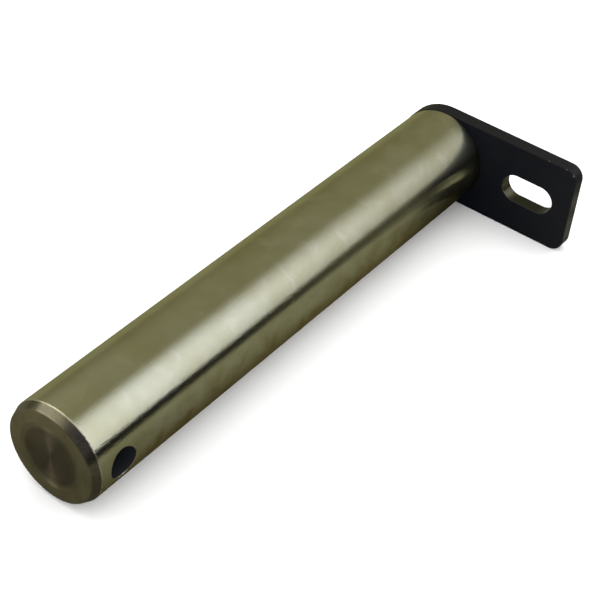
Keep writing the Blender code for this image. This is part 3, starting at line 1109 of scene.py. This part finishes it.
def make_room(settings):
    """White light all round for the floor, and a dim olive room for reflections.

    The room is darkest behind the camera, a little darker near the floor than overhead, and has a lit doorway
    straight behind the plate, which lights the weld.
    """
    world = bpy.data.worlds.new("studio_room")
    world.use_nodes = True
    tree = world.node_tree
    tree.nodes.remove(tree.nodes["Background"])
    white = add_node(tree, "Background", {"Strength": settings.fill_strength, "Color": (1, 1, 1, 1)})
    direction = add_node(tree, "TexCoord", output="Generated")
    along, height = (add_node(tree, "SeparateXYZ", (direction,), axis) for axis in "YZ")
    rise = (height, *ROOM_HEIGHTS, *ROOM_LEVELS)
    overhead = add_node(tree, "MapRange", rise, interpolation_type="SMOOTHSTEP")
    facing = add_node(tree, "VectorMath", (direction, DARK_WAY), "Value", operation="DOT_PRODUCT")
    behind_camera = add_node(tree, "MapRange", (facing, *DARK_EDGE), interpolation_type="SMOOTHSTEP")
    doorway = add_node(tree, "MapRange", (along, *DOORWAY_EDGE), interpolation_type="SMOOTHSTEP")
    colour = coated(
        tree, opaque(settings.room), (behind_camera, settings.dark_room), (doorway, settings.doorway)
    )
    room = add_node(tree, "Background", {"Strength": overhead, "Color": colour})
    in_mirror = add_node(tree, "LightPath", output="Is Glossy Ray")
    show(tree, add_node(tree, "MixShader", (in_mirror, white, room)))
    # Mirrored and diffuse light differ, so the room gives light only to the rays that reach it
    world.cycles.sampling_method = "NONE"
    bpy.context.scene.world = world


def make_card(name, distance, angles, ends, colour, strength, fades):
    """A card beside the pin that only reflections show, and only straight from the surface that is seen.

    It curves round the pin's axis. Each of its two ends along Y has its lower and upper edge at two angles,
    in degrees. The four fades belong to its lower, upper, near and far edge. Each is the share of the card
    that fades, and what is left of the card at the very edge.
    """
    points = []
    spots = []
    for column in range(CARD_COLUMNS + 1):
        share = column / CARD_COLUMNS
        for end, (y, (lower, upper)) in enumerate(zip(ends, angles)):
            turn = math.radians(lower + (upper - lower) * share)
            points.append(on_bar(distance, y, turn) + Vector((AXIS_X, 0, AXIS_Z)))
            spots.append((share, end))
    faces = [(corner, corner + 2, corner + 3, corner + 1) for corner in range(0, 2 * CARD_COLUMNS, 2)]
    mesh = bpy.data.meshes.new(name)
    mesh.from_pydata(points, [], faces)
    layer = mesh.uv_layers.new(name="card")
    for loop, corner in zip(mesh.loops, layer.data):
        corner.uv = spots[loop.vertex_index]

    material, tree = new_material(name)
    spot = add_node(tree, "TexCoord", output="UV")
    bounces = add_node(tree, "LightPath", output="Glossy Depth")
    levels = [add_node(tree, "Math", (bounces, FIRST_BOUNCE), operation="LESS_THAN")]
    for (share, level), axis, start, inward in zip(fades, "XXYY", (0, 1, 0, 1), (1, -1, 1, -1)):
        along = add_node(tree, "SeparateXYZ", (spot,), axis)
        edge = (along, start, start + inward * share, level, 1.0)
        levels.append(add_node(tree, "MapRange", edge, interpolation_type="SMOOTHSTEP"))
    clear = add_node(tree, "BsdfTransparent")
    light = add_node(tree, "Emission", {"Color": opaque(colour), "Strength": strength})
    show(tree, add_node(tree, "MixShader", (product(tree, *levels), clear, light)))
    mesh.materials.append(material)

    card = add_object(name, mesh)
    card.visible_camera = False
    card.visible_diffuse = False
    card.visible_transmission = False
    card.visible_shadow = False


def make_cards(settings):
    """The cards that the steel mirrors: softboxes for its bright bands, and flags for the dark one below."""
    make_card(
        "long_softbox",
        distance=0.5,
        angles=((6.5, 92), (24, 94)),
        ends=(-0.1, 0.82),
        colour=settings.long_light,
        strength=settings.softbox_strength,
        fades=((0.4, 0.6), (0.6, 0.0), (0.08, 0.0), (0.6, 0.1)),
    )
    make_card(
        "near_softbox",
        distance=0.48,
        angles=((14, 85), (14, 88)),
        ends=(-0.1, 0.4),
        colour=settings.near_light,
        strength=1.18 * settings.softbox_strength,
        fades=((0.3, 0.6), (0.4, 0.0), (0.12, 0.0), (0.75, 0.0)),
    )
    make_card(
        "dark_flag",
        distance=0.46,
        angles=((-4.5, 13.5), (-4.5, 13.5)),
        ends=(-0.3, 0.4),
        colour=settings.dark_room,
        strength=0.08,
        fades=((0.12, 0.0), (0.02, 0.9), (0.1, 0.0), (0.12, 0.0)),
    )
    make_card(
        "dim_flag",
        distance=0.47,
        angles=((-4.5, 14), (-4.5, 14)),
        ends=(0.3, 1.3),
        colour=settings.room,
        strength=0.36,
        fades=((0.15, 0.0), (0.02, 0.9), (0.08, 0.0), (0.1, 0.0)),
    )
    make_card(
        "left_softbox",
        distance=0.5,
        angles=((62, 157), (62, 157)),
        ends=(-0.8, 0.05),
        colour=settings.left_light,
        strength=1.58 * settings.softbox_strength,
        fades=((0.79, 0.0), (0.15, 0.0), (0.2, 0.0), (0.13, 0.0)),
    )


def make_camera(settings):
    """A camera at the photograph's viewing angle."""
    azimuth = settings.camera_azimuth
    elevation = settings.camera_elevation
    ahead = Vector(
        (
            -math.sin(azimuth) * math.cos(elevation),
            math.cos(azimuth) * math.cos(elevation),
            -math.sin(elevation),
        )
    )
    data = bpy.data.cameras.new("camera")
    data.lens = settings.camera_lens
    camera = add_object("camera", data)
    camera.location = Vector(settings.camera_aim) - ahead * settings.camera_distance
    camera.rotation_mode = "QUATERNION"
    camera.rotation_quaternion = ahead.to_track_quat("-Z", "Y") @ Quaternion((0, 0, 1), settings.camera_roll)
    bpy.context.scene.camera = camera


class FlagPinMakePin(bpy.types.Operator):
    """Build the ground pin with its chamfered tip and cross hole"""

    bl_idname = "flag_pin.make_pin"
    bl_label = "Ground Pin"

    def execute(self, context):
        make_pin(context.scene.flag_pin_shank)
        return {"FINISHED"}


class FlagPinMakePlate(bpy.types.Operator):
    """Build the painted keeper plate with its bolt slot"""

    bl_idname = "flag_pin.make_plate"
    bl_label = "Keeper Plate"

    def execute(self, context):
        make_plate(context.scene.flag_pin_plate)
        return {"FINISHED"}


class FlagPinMakeWeld(bpy.types.Operator):
    """Build the ring weld between the pin and the plate"""

    bl_idname = "flag_pin.make_weld"
    bl_label = "Ring Weld"

    def execute(self, context):
        make_weld(context.scene.flag_pin_weld)
        return {"FINISHED"}


class FlagPinMakeStage(bpy.types.Operator):
    """Build the floor, the light and the camera"""

    bl_idname = "flag_pin.make_stage"
    bl_label = "Stage"

    def execute(self, context):
        settings = context.scene.flag_pin_stage
        make_floor(settings)
        make_room(settings)
        make_cards(settings)
        make_camera(settings)
        context.scene.view_settings.view_transform = "Standard"
        return {"FINISHED"}


class FlagPinPanel(bpy.types.Panel):
    """The pieces, the stage and their settings"""

    bl_idname = "VIEW3D_PT_flag_pin"
    bl_label = "Flag Pin"
    bl_space_type = "VIEW_3D"
    bl_region_type = "UI"
    bl_category = "Flag Pin"

    def draw(self, context):
        for operator, settings in STEPS:
            box = self.layout.box()
            box.operator(operator.bl_idname)
            group = getattr(context.scene, settings)
            for name in group.__annotations__:
                box.prop(group, name)


STEPS = (
    (FlagPinMakePin, "flag_pin_shank"),
    (FlagPinMakePlate, "flag_pin_plate"),
    (FlagPinMakeWeld, "flag_pin_weld"),
    (FlagPinMakeStage, "flag_pin_stage"),
)
SETTINGS = {
    "flag_pin_shank": FlagPinShankSettings,
    "flag_pin_plate": FlagPinPlateSettings,
    "flag_pin_weld": FlagPinWeldSettings,
    "flag_pin_stage": FlagPinStageSettings,
}
CLASSES = (*SETTINGS.values(), *(operator for operator, settings in STEPS), FlagPinPanel)


def register():
    """Add the classes, and their settings to the scene."""
    for item in CLASSES:
        bpy.utils.register_class(item)
    for name, group in SETTINGS.items():
        setattr(bpy.types.Scene, name, bpy.props.PointerProperty(type=group))


def unregister():
    """Take the settings off the scene, and remove the classes."""
    for name in SETTINGS:
        delattr(bpy.types.Scene, name)
    for item in reversed(CLASSES):
        bpy.utils.unregister_class(item)


def main():
    """Build the pieces and the stage."""
    register()
    bpy.ops.flag_pin.make_pin()
    bpy.ops.flag_pin.make_plate()
    bpy.ops.flag_pin.make_weld()
    bpy.ops.flag_pin.make_stage()


if __name__ == "__main__":
    main()
